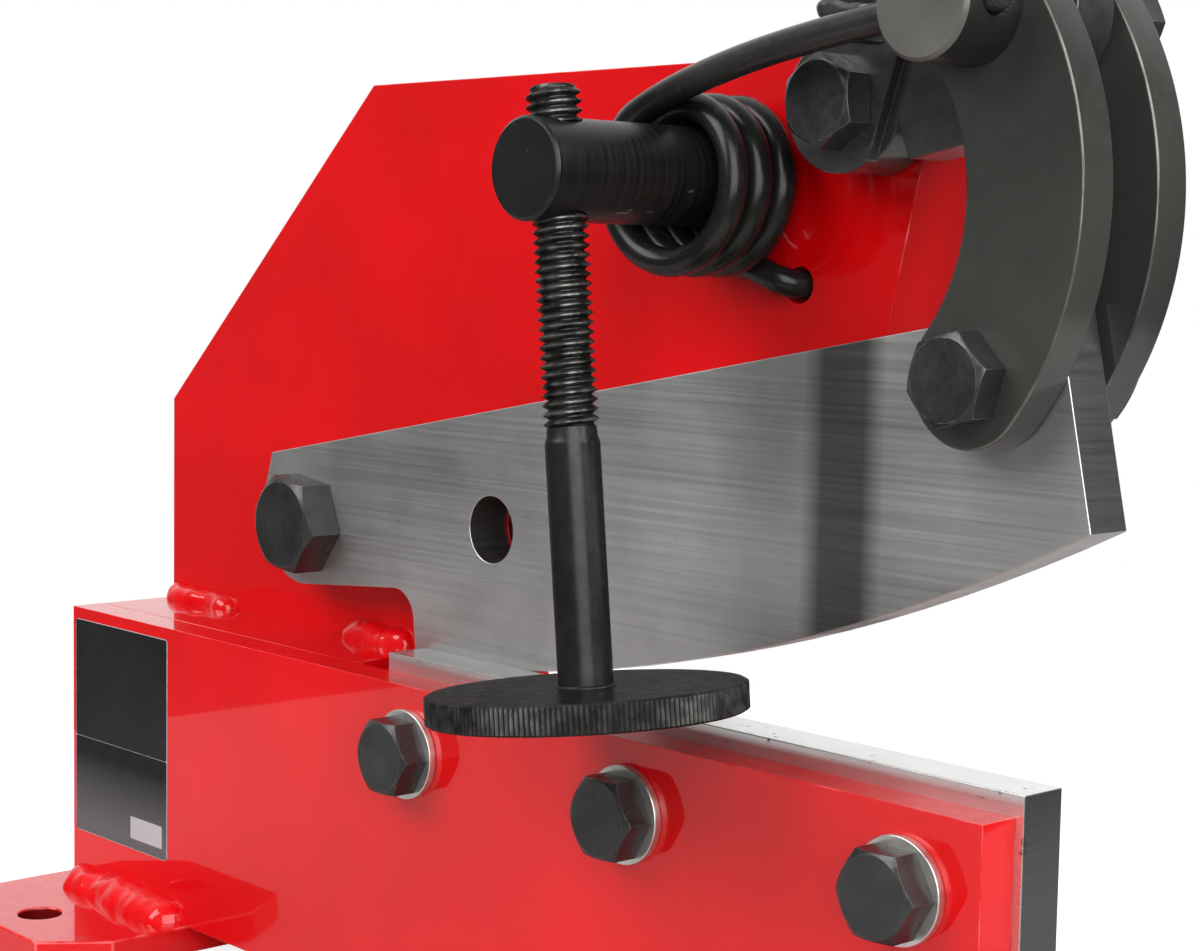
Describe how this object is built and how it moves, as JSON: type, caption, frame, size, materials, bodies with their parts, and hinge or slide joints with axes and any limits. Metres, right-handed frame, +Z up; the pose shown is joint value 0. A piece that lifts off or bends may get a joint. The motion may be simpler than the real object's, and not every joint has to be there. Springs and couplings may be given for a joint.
{
  "type": "bench lever shear",
  "caption": "Hand lever shear for sheet metal: curved upper blade on a pivot, drawn down by a lever and curved links over a fixed lower blade, with return spring and hold-down.",
  "frame": {"origin": "centre of the four bench bolt holes on the bench plane, straight under the shear plane", "axes": "+X along the blades towards the open end and the links, +Y away from the operator, square to the blades, +Z up from the bench"},
  "size_m": [0.3021, 0.1058, 0.5913],
  "materials": {
    "red_paint": "glossy red paint",
    "ground_steel": "ground tool steel",
    "black_oxide": "black oxide with worn edges",
    "zinc": "zinc plated",
    "dark_link": "satin dark grey",
    "black_paint": "glossy black paint",
    "spring_wire": "oil-tempered black wire",
    "grip_rubber": "matt black rubber"
  },
  "bodies": {
    "frame": {"front_plate": "red_paint", "back_plate": "red_paint", "spacer_block": "red_paint", "ledge_bar": "red_paint", "left_foot": "red_paint", "right_foot": "red_paint", "weld_beads": "red_paint", "lower_blade": "ground_steel", "lower_blade_bolts": "black_oxide", "lower_blade_washers": "zinc", "blade_pivot_bolt": "black_oxide", "blade_pivot_shim": "zinc", "blade_pivot_washer": "zinc", "blade_pivot_nut": "black_oxide", "lever_pivot_bolt": "black_oxide", "lever_pivot_shim": "zinc", "lever_pivot_washer": "zinc", "lever_pivot_nut": "black_oxide", "hold_down_bar": "black_oxide", "bar_fixing_bolt": "black_oxide", "bar_fixing_washer": "zinc"},
    "blade": {"upper_blade": "ground_steel"},
    "lever": {"lever_plate": "black_paint", "handle_socket": "black_paint", "handle_tube": "black_paint", "handle_bolt": "black_oxide", "handle_nut": "black_oxide", "handle_grip": "grip_rubber"},
    "links": {"front_link": "dark_link", "rear_link": "dark_link", "link_blade_bolt": "black_oxide", "link_blade_washer": "zinc", "link_blade_nut": "black_oxide"},
    "pin": {"link_pin": "dark_link", "link_pin_washer": "zinc", "link_pin_nut": "black_oxide"},
    "spring": {"return_spring": "spring_wire"},
    "hold_down": {"hold_down_screw": "black_oxide", "hold_down_disc": "black_oxide"}
  },
  "joints": [
    {"name": "lever_pivot", "type": "hinge", "parent": "frame", "child": "lever", "pos_m": [0.08302, 0.0045, 0.17128], "axis": [0, 1, 0], "range_deg": [0, 72], "stiffness_Nm_per_rad": 3, "springref_deg": -20.05},
    {"name": "blade_pivot", "type": "hinge", "parent": "frame", "child": "blade", "pos_m": [-0.06, 0.0045, 0.092], "axis": [0, 1, 0], "range_deg": [0, 11.8]},
    {"name": "link_pivot", "type": "hinge", "parent": "lever", "child": "links", "pos_m": [0.11365, 0.0045, 0.18328], "axis": [0, 1, 0], "range_deg": [-85, 0]},
    {"name": "pin_turn", "type": "hinge", "parent": "lever", "child": "pin", "pos_m": [0.11365, 0.0045, 0.18328], "axis": [0, 1, 0], "range_deg": [-35, 0]},
    {"name": "spring_wind", "type": "hinge", "parent": "frame", "child": "spring", "pos_m": [0.05452, 0, 0.15878], "axis": [0, 1, 0], "range_deg": [0, 37.5], "deforming": ["return_spring"]},
    {"name": "hold_down_travel", "type": "slide", "parent": "frame", "child": "hold_down", "axis": [-0.1097, 0, 0.994], "range_m": [-0.004, 0.03]}
  ],
  "couplings": [
    {"joint": "blade_pivot", "follows": "lever_pivot", "ratio": 0.163},
    {"joint": "link_pivot", "follows": "lever_pivot", "ratio": -1.175},
    {"joint": "pin_turn", "follows": "lever_pivot", "ratio": -0.484},
    {"joint": "spring_wind", "follows": "lever_pivot", "ratio": 0.516}
  ]
}
